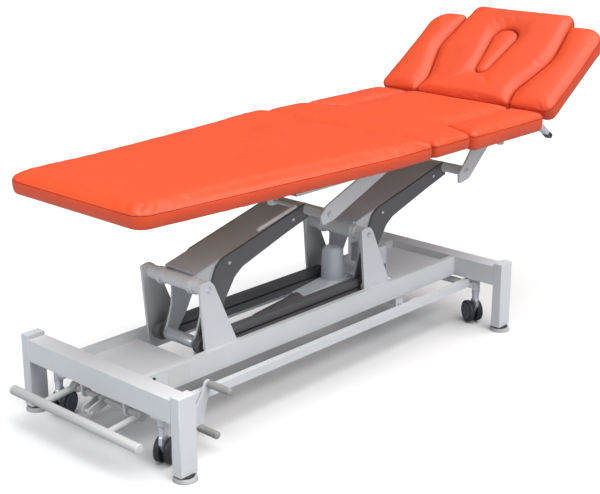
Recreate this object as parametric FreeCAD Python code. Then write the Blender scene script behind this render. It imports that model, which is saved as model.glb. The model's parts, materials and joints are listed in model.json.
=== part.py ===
import FreeCAD, Part
import math
import os

# Height-adjustable examination couch with seven upholstered sections.
# Millimetres.  +X runs from the foot end to the head end, -Y is the left side, +Z is up.
# Every X below is measured from the middle of the base; on export the whole couch is moved so
# that the origin is the floor point under the middle of its overall length.

V = FreeCAD.Vector

# ---------------------------------------------------------------- driving dimensions
LENGTH_MIDDLE = 217.1          # middle of the overall length, from the middle of the base

BASE_LENGTH = 1450.0
BASE_WIDTH = 650.0
POST_X = 58.0                  # post and end beam, along the couch
POST_Y = 33.0                  # post, across the couch
POST_BOTTOM = 17.0
POST_TOP = 229.0
CAP_HEIGHT = 3.0
BEAM_BOTTOM = 157.0
BEAM_TOP = 220.5
TUBE_WALL = 2.5
RAIL_OUTER = 139.0             # outer face of a long rail, from the middle plane
RAIL_THICK = 18.0

PIVOT_X = (-425.0, 242.0)      # lower pivots of the two lifting arms
PIVOT_Z = 388.5
ARM_X = 442.5                  # from the lower pivot to the upper pivot, couch as it stands
ARM_Z = 121.5
CRANK_X = 4.5                  # from the lower pivot to the crank's end
CRANK_Z = -170.5

PEDESTAL_IN = 113.0            # inner and outer faces of the pedestal plates
PEDESTAL_OUT = RAIL_OUTER - RAIL_THICK
WEB_IN = 56.0                  # arm web, then its side cover
WEB_OUT = 62.0
COVER_OUT = 70.0
LINK_IN = 70.5
LINK_OUT = 95.0
LINK_HALF_HEIGHT = 25.0
BRACKET_IN = 151.0
BRACKET_OUT = 158.0
RUN = 0.08                     # radial running clearance of pins and shafts
FACE_GAP = 0.3                 # gap between faces that pass each other

SHAFT_R = 10.0
PIN_R = 8.0
PIVOT_TUBE_R = 20.0
TOP_TUBE_R = 16.0
CROSS_TUBE_R = 17.0

ANCHOR_X = -330.0              # fixed pin of the actuator
ANCHOR_Z = 155.0

PAD_BOTTOM = 658.0
LEG_PAD_TOP = 714.0
SEAT_PAD_TOP = 710.0
HEAD_PAD_TOP = 708.0
SIDE_BOTTOM = 646.0            # side sections and wings carry their own thin board
BOARD_BOTTOM = 640.0
BOARD_INSET = 62.0
TOP_HALF_WIDTH = 345.0
HEAD_HALF_WIDTH = 349.0
FOOT_HALF_WIDTH = 265.0
LEG_START = -778.0
LEG_END = 257.0
SEAT_START = 269.0
LEG_HINGE_X = 263.0
LEG_HINGE_Z = 650.0
SEAT_END = 846.0

HEAD_HINGE_X = 856.0
HEAD_HINGE_Z = 650.0
HEAD_START = 887.0             # head pads with the head section laid level
HEAD_LENGTH = 450.0
WING_LENGTH = 398.0
HEAD_TILT = 34.0               # degrees, as the couch stands

TOP_RAIL_START = -113.0
TOP_RAIL_IN = 128.0
TOP_RAIL_BOTTOM = 588.0
TOP_RAIL_TOP = 639.0

BAR_IN = 178.0                 # side bars of the castor frame
BAR_OUT = 198.0
BAR_BOTTOM = 128.0
BAR_TOP = 153.0
SWING_X = (-598.6, 385.0)      # swing shafts of the castor frame
SWING_Z = 130.1
SWING_DX = 38.6                # swing shaft to bar pin
SWING_DZ = 10.4
CASTOR_X = 686.0
CASTOR_Y = 215.0
CASTOR_TRAIL = 20.0
WHEEL_R = 36.0
WHEEL_Z = 38.5
CASTOR_TURN = {"foot_left": 22.0, "foot_right": 18.0, "head_left": 63.0, "head_right": 204.0}

FOOT_BAR_X = -802.5
FOOT_BAR_Z = 106.5
FOOT_BAR_R = 13.5
FOOT_BAR_HALF = 262.0
FOOT_SHAFT_X = -690.0
FOOT_SHAFT_Z = 118.0


# ---------------------------------------------------------------- helpers
def box(x0, x1, y0, y1, z0, z1):
    return Part.makeBox(x1 - x0, y1 - y0, z1 - z0, V(x0, y0, z0))


def mirrored(shape):
    return shape.mirror(V(0, 0, 0), V(0, 1, 0))


def rod(start, end, radius):
    axis = end - start
    return Part.makeCylinder(radius, axis.Length, start, axis)


def rod_y(x, z, y0, y1, radius):
    return rod(V(x, y0, z), V(x, y1, z), radius)


def rounded_wire(corners, place):
    """Closed wire through (a, b, radius) corners; place turns (a, b) into a point."""
    edges = []
    joints = []
    count = len(corners)
    for i, (a, b, radius) in enumerate(corners):
        here = V(a, b, 0)
        back = V(corners[i - 1][0], corners[i - 1][1], 0) - here
        ahead = V(corners[(i + 1) % count][0], corners[(i + 1) % count][1], 0) - here
        back.normalize()
        ahead.normalize()
        half = back.getAngle(ahead) / 2
        if radius <= 0:
            joints.append((here, None, here))
            continue
        reach = radius / math.tan(half)
        bisector = back + ahead
        bisector.normalize()
        middle = here + bisector * (radius / math.sin(half) - radius)
        joints.append((here + back * reach, middle, here + ahead * reach))
    for i, (enter, middle, leave) in enumerate(joints):
        if middle is not None:
            edges.append(Part.Arc(place(enter), place(middle), place(leave)).toShape())
        following = joints[(i + 1) % count][0]
        if (following - leave).Length > 1e-6:
            edges.append(Part.LineSegment(place(leave), place(following)).toShape())
    return Part.Wire(edges)


def plate_xz(corners, y0, y1, origin=(0.0, 0.0)):
    wire = rounded_wire(corners, lambda p: V(p.x + origin[0], y0, p.y + origin[1]))
    return Part.Face(wire).extrude(V(0, y1 - y0, 0))


def plate_xy(corners, z0, z1):
    wire = rounded_wire(corners, lambda p: V(p.x, p.y, z0))
    return Part.Face(wire).extrude(V(0, 0, z1 - z0))


def both_sides(half):
    """Corners of the +Y half, then the same corners mirrored to the -Y half."""
    return half + [(a, -b, radius) for a, b, radius in reversed(half)]


def cushion(corners, z0, z1, edge):
    """Flat pad whose top edges are rounded."""
    solid = plate_xy(corners, z0, z1)
    rim = [e for e in solid.Edges if all(abs(v.Z - z1) < 1e-4 for v in e.Vertexes)]
    return solid.makeFillet(edge, rim)


def tube_z(x0, x1, y0, y1, z0, z1, floor=0.0):
    inner = box(x0 + TUBE_WALL, x1 - TUBE_WALL, y0 + TUBE_WALL, y1 - TUBE_WALL, z0 + floor, z1)
    return box(x0, x1, y0, y1, z0, z1).cut(inner)


def tilted(shape):
    """Head-section pieces are drawn level and then turned up about the head hinge."""
    shape.rotate(V(HEAD_HINGE_X, 0, HEAD_HINGE_Z), V(0, 1, 0), -HEAD_TILT)
    return shape


def save(name, *shapes):
    solids = [solid for shape in shapes for solid in shape.Solids]
    whole = solids[0] if len(solids) == 1 else Part.makeCompound(solids)
    whole = whole.copy()
    whole.translate(V(-LENGTH_MIDDLE, 0, 0))
    whole.exportStep("parts/" + name + ".step")


# ---------------------------------------------------------------- base
FOOT_SCREW_R = 6.0
FOOT_DISC_R = 33.0
FOOT_DISC_HEIGHT = 11.0
FOOT_SCREW_TOP = 70.0


def post(sign_x, sign_y):
    x = sign_x * (BASE_LENGTH - POST_X) / 2
    y = sign_y * (BASE_WIDTH - POST_Y) / 2
    tube = tube_z(x - POST_X / 2, x + POST_X / 2, y - POST_Y / 2, y + POST_Y / 2,
                  POST_BOTTOM, POST_TOP, floor=6.0)
    tube = tube.makeFillet(3.0, upright_edges(tube, x, y))
    return tube.cut(rod(V(x, y, 0), V(x, y, FOOT_SCREW_TOP), FOOT_SCREW_R))


def upright_edges(tube, x, y):
    """The four outer corner edges of a post."""
    found = []
    for edge in tube.Edges:
        ends = [v.Point for v in edge.Vertexes]
        upright = abs(ends[0].z - ends[-1].z) > POST_TOP - POST_BOTTOM - 1
        if upright and abs(ends[0].x - x) > POST_X / 2 - 1 and abs(ends[0].y - y) > POST_Y / 2 - 1:
            found.append(edge)
    return found


def post_cap(sign_x, sign_y):
    x = sign_x * (BASE_LENGTH - POST_X) / 2
    y = sign_y * (BASE_WIDTH - POST_Y) / 2
    cap = box(x - POST_X / 2, x + POST_X / 2, y - POST_Y / 2, y + POST_Y / 2,
              POST_TOP, POST_TOP + CAP_HEIGHT)
    top = [e for e in cap.Edges if all(v.Z > POST_TOP + 1 for v in e.Vertexes)]
    return cap.makeChamfer(1.5, top)


def levelling_foot(sign_x, sign_y):
    x = sign_x * (BASE_LENGTH - POST_X) / 2
    y = sign_y * (BASE_WIDTH - POST_Y) / 2
    disc = Part.makeCone(FOOT_DISC_R, FOOT_DISC_R - 3, FOOT_DISC_HEIGHT, V(x, y, 0))
    return disc.fuse(rod(V(x, y, 1), V(x, y, FOOT_SCREW_TOP), FOOT_SCREW_R)).removeSplitter()


def end_beam(sign_x):
    x = sign_x * (BASE_LENGTH - POST_X) / 2
    reach = BASE_WIDTH / 2 - POST_Y
    outer = box(x - POST_X / 2, x + POST_X / 2, -reach, reach, BEAM_BOTTOM, BEAM_TOP)
    inner = box(x - POST_X / 2 + TUBE_WALL, x + POST_X / 2 - TUBE_WALL, -reach, reach,
                BEAM_BOTTOM + TUBE_WALL, BEAM_TOP - TUBE_WALL)
    return outer.cut(inner)


def long_rail():
    reach = BASE_LENGTH / 2 - POST_X
    inner_face = RAIL_OUTER - RAIL_THICK
    outer = box(-reach, reach, inner_face, RAIL_OUTER, BEAM_BOTTOM, BEAM_TOP)
    inner = box(-reach, reach, inner_face + TUBE_WALL, RAIL_OUTER - TUBE_WALL,
                BEAM_BOTTOM + TUBE_WALL, BEAM_TOP - TUBE_WALL)
    return outer.cut(inner)


def pedestal(pivot_x):
    outline = [(-12, -231, 0), (-34, 22, 8), (4, 27, 22), (20, 8, 14), (99, -165, 0), (128, -231, 0)]
    plate = plate_xz(outline, PEDESTAL_IN, PEDESTAL_OUT, (pivot_x, PIVOT_Z))
    return plate.cut(rod_y(pivot_x, PIVOT_Z, PEDESTAL_IN - 1, PEDESTAL_OUT + 1, SHAFT_R))


def lower_shaft(pivot_x):
    shaft = rod_y(pivot_x, PIVOT_Z, -PEDESTAL_OUT, PEDESTAL_OUT, SHAFT_R)
    head = Part.makeCone(9.0, 7.0, 5.0, V(pivot_x, PEDESTAL_OUT, PIVOT_Z), V(0, 1, 0))
    return shaft.fuse([head, mirrored(head)]).removeSplitter()


PANEL_TOP = 198.0
PANEL_THICK = 3.0
FOOT_PANEL_END = -478.0
HEAD_PANEL_START = 415.0


def foot_panel():
    reach = BASE_LENGTH / 2 - POST_X
    side = RAIL_OUTER - RAIL_THICK
    return box(-reach, FOOT_PANEL_END, -side, side, PANEL_TOP - PANEL_THICK, PANEL_TOP)


def head_panel():
    """Flat cover with an upstand at its foot-end edge that carries the control box."""
    reach = BASE_LENGTH / 2 - POST_X
    side = RAIL_OUTER - RAIL_THICK
    flat = box(HEAD_PANEL_START, reach, -side, side, PANEL_TOP - PANEL_THICK, PANEL_TOP)
    upstand = box(HEAD_PANEL_START, HEAD_PANEL_START + PANEL_THICK, -52, 52, PANEL_TOP - 1, 302)
    return flat.fuse(upstand).removeSplitter()


def control_box():
    case = box(359, HEAD_PANEL_START, -50, 50, 240, 300)
    case = case.makeFillet(4.0, [e for e in case.Edges if all(v.X < 360 for v in e.Vertexes)])
    plugs = [rod(V(382, y, 212), V(382, y, 240), 8.0) for y in (-34, -12, 10, 32)]
    return [case] + plugs


def actuator_anchor():
    """Cradle between the rails whose two slotted lugs hold the actuator's pin."""
    side = PEDESTAL_IN
    base = box(ANCHOR_X - 30, ANCHOR_X + 30, -22, 22, 128, 134)
    cheek = box(ANCHOR_X - 30, ANCHOR_X + 30, side - 6, side, 160, 214)
    strips = [box(ANCHOR_X - 30, ANCHOR_X - 16, 21, side, 160, 166)]
    strips.append(box(ANCHOR_X + 16, ANCHOR_X + 30, 21, side, 160, 166))
    lug = plate_xz([(-30, -26, 0), (-16, 42, 12), (16, 42, 12), (30, -26, 0)], 14, 22, (ANCHOR_X, ANCHOR_Z))
    slot = plate_xz([(-8, -8, 7), (-8, 32, 7), (8, 32, 7), (8, -8, 7)], 13, 23, (ANCHOR_X, ANCHOR_Z))
    lug = lug.cut(slot)
    half = [cheek, lug] + strips
    return base.fuse(half + [mirrored(piece) for piece in half]).removeSplitter()


HANGER_IN = 123.0
HANGER_OUT = 133.0


def underframe_hangers():
    plates = []
    for x in SWING_X:
        plate = plate_xz([(-20, 27, 0), (-14, -14, 12), (14, -14, 12), (20, 27, 0)],
                         HANGER_IN, HANGER_OUT, (x, SWING_Z - 0.1))
        plate = plate.cut(rod_y(x, SWING_Z, HANGER_IN - 1, HANGER_OUT + 1, PIN_R + RUN))
        plates += [plate, mirrored(plate)]
    plate = plate_xz([(-18, 39, 0), (-14, -14, 12), (14, -14, 12), (18, 39, 0)],
                     84, 92, (FOOT_SHAFT_X, FOOT_SHAFT_Z))
    plate = plate.cut(rod_y(FOOT_SHAFT_X, FOOT_SHAFT_Z, 83, 93, PIN_R + RUN))
    plates += [plate, mirrored(plate)]
    return plates


# ---------------------------------------------------------------- lifting arms
def arm_top_line(dx):
    """Height of the web's top edge above the lower pivot."""
    return 17 + (dx + 24) * 115 / 450


def arm_web(x):
    """Boomerang plate that carries the pivot tube, the top tube and the crank's cross tube."""
    outline = [(-24, arm_top_line(-24), 20), (426, arm_top_line(426), 0), (ARM_X + 18, ARM_Z + 20, 16)]
    outline += [(ARM_X + 22, ARM_Z - 21, 16), (350, 66, 0), (178, 11, 40), (148, -10, 30)]
    outline += [(106, -72, 0), (75, -128, 0), (28, CRANK_Z - 20, 18), (-16, CRANK_Z - 20, 18)]
    outline += [(7, -140, 0), (23, -92, 0), (26, -26, 14), (-24, -24, 20)]
    return plate_xz(outline, WEB_IN, WEB_OUT, (x, PIVOT_Z))


def arm_frame(x):
    web = arm_web(x)
    pivot_tube = rod_y(x, PIVOT_Z, -PEDESTAL_IN + FACE_GAP, PEDESTAL_IN - FACE_GAP, PIVOT_TUBE_R)
    collar = rod_y(x, PIVOT_Z, WEB_OUT, WEB_OUT + 14, PIVOT_TUBE_R + 3)
    top_tube = rod_y(x + ARM_X, PIVOT_Z + ARM_Z, -BRACKET_IN + FACE_GAP, BRACKET_IN - FACE_GAP, TOP_TUBE_R)
    top_ring = rod_y(x + ARM_X, PIVOT_Z + ARM_Z, BRACKET_IN - 10, BRACKET_IN - FACE_GAP, TOP_TUBE_R + 2)
    belly = plate_xz([(178, 11, 0), (420, 89, 0), (420, 92, 0), (178, 14, 0)], -WEB_IN, WEB_IN, (x, PIVOT_Z))
    frame = pivot_tube.fuse([web, mirrored(web), collar, mirrored(collar), top_tube,
                             top_ring, mirrored(top_ring), belly])
    frame = frame.cut(rod_y(x, PIVOT_Z, -PEDESTAL_IN, PEDESTAL_IN, SHAFT_R + RUN))
    frame = frame.cut(rod_y(x + ARM_X, PIVOT_Z + ARM_Z, -BRACKET_IN, BRACKET_IN, PIN_R + RUN))
    frame = frame.cut(rod_y(x + CRANK_X, PIVOT_Z + CRANK_Z, -WEB_OUT - 1, WEB_OUT + 1, PIN_R))
    return frame.removeSplitter()


def arm_top_cover(x):
    """Sheet over the arm, from the pivot tube to the top tube."""
    low_x, high_x = 8, 426
    outline = [(low_x, arm_top_line(low_x), 0), (high_x, arm_top_line(high_x), 0)]
    outline += [(high_x - 1, arm_top_line(high_x) + 4, 0), (low_x - 1, arm_top_line(low_x) + 4, 0)]
    return plate_xz(outline, -WEB_OUT, WEB_OUT, (x, PIVOT_Z))


def arm_side_cover(x):
    outline = [(62, -4, 0), (80, 35, 26), (104, 52, 30), (ARM_X + 8, 140, 4)]
    outline += [(ARM_X + 8, 95, 4), (350, 66, 0), (178, 11, 60), (148, -10, 40), (106, -72, 0)]
    outline += [(75, -128, 0), (30, CRANK_Z - 22, 20), (-18, CRANK_Z - 22, 20), (7, -140, 0)]
    outline += [(23, -92, 0), (47, -47, 0)]
    cover = plate_xz(outline, WEB_OUT, COVER_OUT, (x, PIVOT_Z))
    cover = cover.cut(rod_y(x + ARM_X, PIVOT_Z + ARM_Z, WEB_OUT - 1, COVER_OUT + 1, TOP_TUBE_R))
    cover = cover.cut(rod_y(x + CRANK_X, PIVOT_Z + CRANK_Z, WEB_OUT - 1, COVER_OUT + 1, PIN_R))
    return max(cover.Solids, key=lambda solid: solid.Volume)


def arm_cross_tube(x):
    """Polished tube between the crank webs, with the pins that the drag links turn on."""
    cx = x + CRANK_X
    cz = PIVOT_Z + CRANK_Z
    head = Part.makeCone(10.0, 8.0, 5.0, V(cx, LINK_OUT + FACE_GAP, cz), V(0, 1, 0))
    pin = rod_y(cx, cz, WEB_IN, LINK_OUT + FACE_GAP, PIN_R)
    tube = rod_y(cx, cz, -WEB_IN, WEB_IN, CROSS_TUBE_R)
    return tube.fuse([pin, mirrored(pin), head, mirrored(head)]).removeSplitter()


def drag_link():
    start = PIVOT_X[0] + CRANK_X
    end = PIVOT_X[1] + CRANK_X
    z = PIVOT_Z + CRANK_Z
    half = LINK_HALF_HEIGHT
    outline = [(start - half, z - half, half - 0.5), (end + half, z - half, half - 0.5)]
    outline += [(end + half, z + half, half - 0.5), (start - half, z + half, half - 0.5)]
    link = plate_xz(outline, LINK_IN, LINK_OUT)
    for x in (start, end):
        link = link.cut(rod_y(x, z, LINK_IN - 1, LINK_OUT + 1, PIN_R + RUN))
    return link


# ---------------------------------------------------------------- actuator
CLEVIS = V(PIVOT_X[1] + CRANK_X, 0, PIVOT_Z + CRANK_Z)
ACTUATOR = V(ANCHOR_X, 0, ANCHOR_Z) - CLEVIS
ACTUATOR_LENGTH = ACTUATOR.Length
ACTUATOR_DIRECTION = V(ACTUATOR.x, 0, ACTUATOR.z).normalize()
GEARCASE_END = 188.0           # distances from the clevis along the actuator
TUBE_END = 372.0
ROD_INNER_END = 235.0
ROD_BORE_START = 150.0
ROD_R = 11.0


def along(distance):
    return CLEVIS + ACTUATOR_DIRECTION * distance


def turned_to_actuator(shape):
    """Turn a piece drawn along -X from the clevis into the actuator's own slope."""
    slope = math.degrees(math.atan2(-ACTUATOR_DIRECTION.z, -ACTUATOR_DIRECTION.x))
    shape.rotate(CLEVIS, V(0, 1, 0), -slope)
    return shape


def gearcase():
    x, z = CLEVIS.x, CLEVIS.z
    case = box(x - GEARCASE_END, x - 8, -37, 37, z - 24, z + 20)
    case = case.makeFillet(12.0, [e for e in case.Edges if abs(e.Vertexes[0].X - e.Vertexes[-1].X) > 20])
    case = turned_to_actuator(case)
    ring = rod_y(x, z, -40, 40, CROSS_TUBE_R + 8)
    seat = Part.makeCone(40, 33, 26, V(x - 32, 0, z + 2))
    motor = Part.makeCone(36.5, 32, 96, V(x - 32, 0, z + 20))
    motor = motor.makeFillet(15.0, [e for e in motor.Edges if abs(e.CenterOfMass.z - z - 116) < 0.1])
    whole = case.fuse([ring, seat, motor])
    whole = whole.cut(rod_y(x, z, -60, 60, CROSS_TUBE_R + RUN))
    whole = whole.cut(rod(along(ROD_BORE_START), along(GEARCASE_END + 5), ROD_R + 1))
    return whole.removeSplitter()


def actuator_tube():
    tube = rod(along(GEARCASE_END), along(TUBE_END), 26)
    tube = tube.makeFillet(8.0, [e for e in tube.Edges if abs((e.CenterOfMass - along(TUBE_END)).Length) < 1])
    return tube.cut(rod(along(GEARCASE_END - 1), along(TUBE_END + 1), ROD_R + RUN))


def actuator_rod():
    tip = along(ACTUATOR_LENGTH)
    shaft = rod(along(ROD_INNER_END), along(ACTUATOR_LENGTH - 8), ROD_R)
    eye = rod_y(tip.x, tip.z, -12, 12, 15)
    pin = rod_y(tip.x, tip.z, -24, 24, 6)
    return shaft.fuse([eye, pin]).removeSplitter()


# ---------------------------------------------------------------- top frame
HINGE_SHAFT_R = 8.0
LEG_SHAFT_R = 5.0


FLAP_REST_X = 815.0            # post beside each rail that carries the side section
FLAP_REST_Y = 196.0
FLAP_REST_R = 12.0


def top_rail():
    outer = box(TOP_RAIL_START, SEAT_END, TOP_RAIL_IN, BRACKET_IN, TOP_RAIL_BOTTOM, TOP_RAIL_TOP)
    inner = box(TOP_RAIL_START, SEAT_END, TOP_RAIL_IN + TUBE_WALL, BRACKET_IN - TUBE_WALL,
                TOP_RAIL_BOTTOM + TUBE_WALL, TOP_RAIL_TOP - TUBE_WALL)
    lug = plate_xz([(-40, -48, 0), (-10, -48, 0), (10, 2, 8), (0, 11, 8), (-10, 6, 4), (-26, -12, 0)],
                   TOP_RAIL_IN, TOP_RAIL_IN + 6, (HEAD_HINGE_X, HEAD_HINGE_Z))
    lug = lug.cut(box(0, SEAT_END, 0, 200, 500, TOP_RAIL_TOP))
    arm = box(FLAP_REST_X - 7, FLAP_REST_X + 7, BRACKET_IN - 1, FLAP_REST_Y, 616, 630)
    rest = rod(V(FLAP_REST_X, FLAP_REST_Y, 583), V(FLAP_REST_X, FLAP_REST_Y, 640), FLAP_REST_R)
    rest = rest.makeFillet(2.0, [e for e in rest.Edges if e.Closed])
    whole = outer.cut(inner).fuse([lug, arm, rest])
    end_plate = box(SEAT_END - 3, SEAT_END, TOP_RAIL_IN, BRACKET_IN, TOP_RAIL_BOTTOM, TOP_RAIL_TOP)
    leg_lug = plate_xz([(-9, -11, 0), (9, -11, 0), (8, 7, 6), (-8, 7, 6)],
                       TOP_RAIL_IN, TOP_RAIL_IN + 6, (LEG_HINGE_X, LEG_HINGE_Z))
    whole = whole.fuse([end_plate, leg_lug]).removeSplitter()
    whole = whole.cut(rod_y(LEG_HINGE_X, LEG_HINGE_Z, 120, 140, LEG_SHAFT_R))
    return whole.cut(rod_y(HEAD_HINGE_X, HEAD_HINGE_Z, 120, 140, HINGE_SHAFT_R))


CROSS_X = (-88.0, 150.0, 810.0)


def top_cross_members():
    members = []
    for x in CROSS_X:
        members.append(box(x - 15, x + 15, -TOP_RAIL_IN, TOP_RAIL_IN, 592, 632))
    reach = TOP_RAIL_IN + 6
    members.append(rod_y(HEAD_HINGE_X, HEAD_HINGE_Z, -reach, reach, HINGE_SHAFT_R))
    members.append(rod_y(LEG_HINGE_X, LEG_HINGE_Z, -reach, reach, LEG_SHAFT_R))
    return members


def upper_bracket(pivot_x, corners):
    x = pivot_x + ARM_X
    z = PIVOT_Z + ARM_Z
    plate = plate_xz(corners, BRACKET_IN, BRACKET_OUT, (x, z))
    return plate.cut(rod_y(x, z, BRACKET_IN - 1, BRACKET_OUT + 1, PIN_R))


def upper_brackets():
    foot = upper_bracket(PIVOT_X[0], [(-27, -27, 9), (-38, 0, 14), (-10, 27, 20), (190, 104, 0),
                                      (330, 104, 0), (22, -19, 20)])
    head = upper_bracket(PIVOT_X[1], [(-36, -36, 9), (-38, 0, 12), (-12, 22, 12), (58, 104, 0),
                                      (165, 104, 0), (18, -26, 16)])
    return [foot, mirrored(foot), head, mirrored(head)]


def upper_pivot_bolts():
    bolts = []
    for pivot_x in PIVOT_X:
        x = pivot_x + ARM_X
        z = PIVOT_Z + ARM_Z
        pin = rod_y(x, z, 96, BRACKET_OUT, PIN_R)
        head = Part.makeCone(9.5, 7.5, 5.0, V(x, BRACKET_OUT, z), V(0, 1, 0))
        bolt = pin.fuse(head).removeSplitter()
        bolts += [bolt, mirrored(bolt)]
    return bolts


# ---------------------------------------------------------------- boards and pads
NOTCH_OUTER_X = 438.0          # the seat pad's wide part ends here at the edge of the couch
NOTCH_INNER_X = 500.0          # and here at the side sections' inner edge
SEAM_Y = 203.0


SIDE_HINGE_X = (560.0, 800.0)  # hinge of a side section, along the couch
SIDE_HINGE_Y = 206.0
WING_HINGE_X = (HEAD_START + 90.0, HEAD_START + 290.0)
WING_HINGE_Y = 208.0
FLAP_HINGE_Z = 640.0
KNUCKLE = 40.0
KNUCKLE_R = 5.4
HINGE_PIN_R = 3.5
HINGE_LEAF = 5.0


def hinge_knuckles(span, y, inner_y):
    """Two fixed knuckles and the pin of a flap hinge, with leaves under the board."""
    start, end = span
    pin = rod(V(start, y, FLAP_HINGE_Z), V(end, y, FLAP_HINGE_Z), HINGE_PIN_R)
    pieces = []
    for x in (start, end - KNUCKLE):
        pieces.append(rod(V(x, y, FLAP_HINGE_Z), V(x + KNUCKLE, y, FLAP_HINGE_Z), KNUCKLE_R))
        pieces.append(box(x, x + KNUCKLE, inner_y, y, FLAP_HINGE_Z - HINGE_LEAF, FLAP_HINGE_Z))
    return pin.fuse(pieces)


def hinge_barrel(pad, span, y, outer_y):
    """Fuse the moving barrel and its leaf to the underside of a flap."""
    start = span[0] + KNUCKLE + FACE_GAP
    end = span[1] - KNUCKLE - FACE_GAP
    barrel = rod(V(start, y, FLAP_HINGE_Z), V(end, y, FLAP_HINGE_Z), KNUCKLE_R)
    leaf = box(start, end, y, outer_y, FLAP_HINGE_Z + 1, SIDE_BOTTOM + 1)
    whole = pad.fuse([barrel, leaf]).removeSplitter()
    pin = rod(V(span[0], y, FLAP_HINGE_Z), V(span[1], y, FLAP_HINGE_Z), HINGE_PIN_R + RUN)
    return whole.cut(pin)


def seat_board():
    wide = TOP_HALF_WIDTH - BOARD_INSET
    half = [(284, wide, 20), (430, wide, 20), (470, 184, 20), (826, 184, 10)]
    board = plate_xy(both_sides(half), BOARD_BOTTOM, PAD_BOTTOM)
    knuckles = hinge_knuckles(SIDE_HINGE_X, SIDE_HINGE_Y, 160)
    return board.fuse([knuckles, mirrored(knuckles)]).removeSplitter()


def seat_pad():
    half = [(SEAT_START, TOP_HALF_WIDTH, 16), (NOTCH_OUTER_X, TOP_HALF_WIDTH, 22)]
    half += [(NOTCH_INNER_X, SEAM_Y, 14), (SEAT_END, SEAM_Y, 12)]
    return cushion(both_sides(half), PAD_BOTTOM, SEAT_PAD_TOP, 8.0)


def side_pad():
    outline = [(NOTCH_OUTER_X + 7, TOP_HALF_WIDTH, 22), (NOTCH_INNER_X + 7, SEAM_Y + 5, 14)]
    outline += [(SEAT_END, SEAM_Y + 5, 10), (SEAT_END, TOP_HALF_WIDTH, 28)]
    pad = cushion(outline, SIDE_BOTTOM, SEAT_PAD_TOP - 4, 9.0)
    return hinge_barrel(pad, SIDE_HINGE_X, SIDE_HINGE_Y, 240)


HANDLE_X = -200.0              # release handle under the leg section
HANDLE_Z = 594.0
HANDLE_Y = -225.0
HANDLE_R = 5.5
HANDLE_ROOT = -132.0


def leg_board():
    edge = BOARD_INSET
    half = [(LEG_START + edge, FOOT_HALF_WIDTH - edge, 40), (110, TOP_HALF_WIDTH - edge, 300)]
    half += [(LEG_HINGE_X - 13, TOP_HALF_WIDTH - edge, 20)]
    board = plate_xy(both_sides(half), BOARD_BOTTOM, PAD_BOTTOM)
    tube = rod_y(LEG_HINGE_X, LEG_HINGE_Z, -118, 118, 8)
    strap = box(LEG_HINGE_X - 20, LEG_HINGE_X - 4, -118, 118, LEG_HINGE_Z - 6, LEG_HINGE_Z + 6)
    bearing = box(HANDLE_X - 10, HANDLE_X + 10, HANDLE_ROOT - 18, HANDLE_ROOT - 2, 585, BOARD_BOTTOM + 1)
    board = board.fuse([tube, strap, bearing]).removeSplitter()
    board = board.cut(rod_y(HANDLE_X, HANDLE_Z, HANDLE_ROOT - 20, HANDLE_ROOT, HANDLE_R + RUN))
    return board.cut(rod_y(LEG_HINGE_X, LEG_HINGE_Z, -120, 120, LEG_SHAFT_R + RUN))


def leg_pad():
    half = [(LEG_START, FOOT_HALF_WIDTH, 46), (110, TOP_HALF_WIDTH, 600), (LEG_END, TOP_HALF_WIDTH, 16)]
    return cushion(both_sides(half), PAD_BOTTOM, LEG_PAD_TOP, 13.0)


def teardrop(margin):
    """Face opening: a small and a large circle joined by their common tangents."""
    x1, r1 = HEAD_START + 149, 25 + margin
    x2, r2 = HEAD_START + 298, 48 + margin
    lean = math.asin((r2 - r1) / (x2 - x1))
    a = (x1 - r1 * math.sin(lean), r1 * math.cos(lean))
    b = (x2 - r2 * math.sin(lean), r2 * math.cos(lean))
    z = BOARD_BOTTOM - 10
    edges = [
        Part.Arc(V(a[0], -a[1], z), V(x1 - r1, 0, z), V(a[0], a[1], z)).toShape(),
        Part.LineSegment(V(a[0], a[1], z), V(b[0], b[1], z)).toShape(),
        Part.Arc(V(b[0], b[1], z), V(x2 + r2, 0, z), V(b[0], -b[1], z)).toShape(),
        Part.LineSegment(V(b[0], -b[1], z), V(a[0], -a[1], z)).toShape(),
    ]
    return Part.Face(Part.Wire(edges))


def head_outline():
    half = [(HEAD_START, 190, 12), (HEAD_START + 62, 174, 110), (HEAD_START + 226, 229, 170)]
    half += [(HEAD_START + HEAD_LENGTH, 200, 34)]
    return both_sides(half)


def head_board():
    """Board of the head section with its hinge tube and the fixed wing knuckles."""
    x = HEAD_START
    half = [(x - 12, 118, 4), (x + 4, 160, 10), (x + 62, 154, 80), (x + 226, 205, 120)]
    half += [(x + HEAD_LENGTH - 22, 176, 24)]
    board = plate_xy(both_sides(half), BOARD_BOTTOM, PAD_BOTTOM)
    board = board.cut(teardrop(6).extrude(V(0, 0, 60)))
    tube = rod_y(HEAD_HINGE_X, HEAD_HINGE_Z, -120, 120, 11)
    strap = box(HEAD_HINGE_X, x + 4, 60, 118, HEAD_HINGE_Z - 6, HEAD_HINGE_Z + 6)
    knuckles = hinge_knuckles(WING_HINGE_X, WING_HINGE_Y, 150)
    board = board.fuse([tube, strap, mirrored(strap), knuckles, mirrored(knuckles)])
    board = board.cut(rod_y(HEAD_HINGE_X, HEAD_HINGE_Z, -130, 130, HINGE_SHAFT_R + RUN))
    return tilted(board.removeSplitter())


LEVER_X = 876.0                # wing lock lever, with the head section level
LEVER_Z = 635.0
LEVER_Y = -300.0
LEVER_R = 5.0
LEVER_DROP = 71.0
LEVER_LEAN = 20.0              # degrees towards the head end


def head_pad():
    pad = cushion(head_outline(), PAD_BOTTOM, HEAD_PAD_TOP, 10.0)
    return tilted(pad.cut(teardrop(0).extrude(V(0, 0, 100))))


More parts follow.
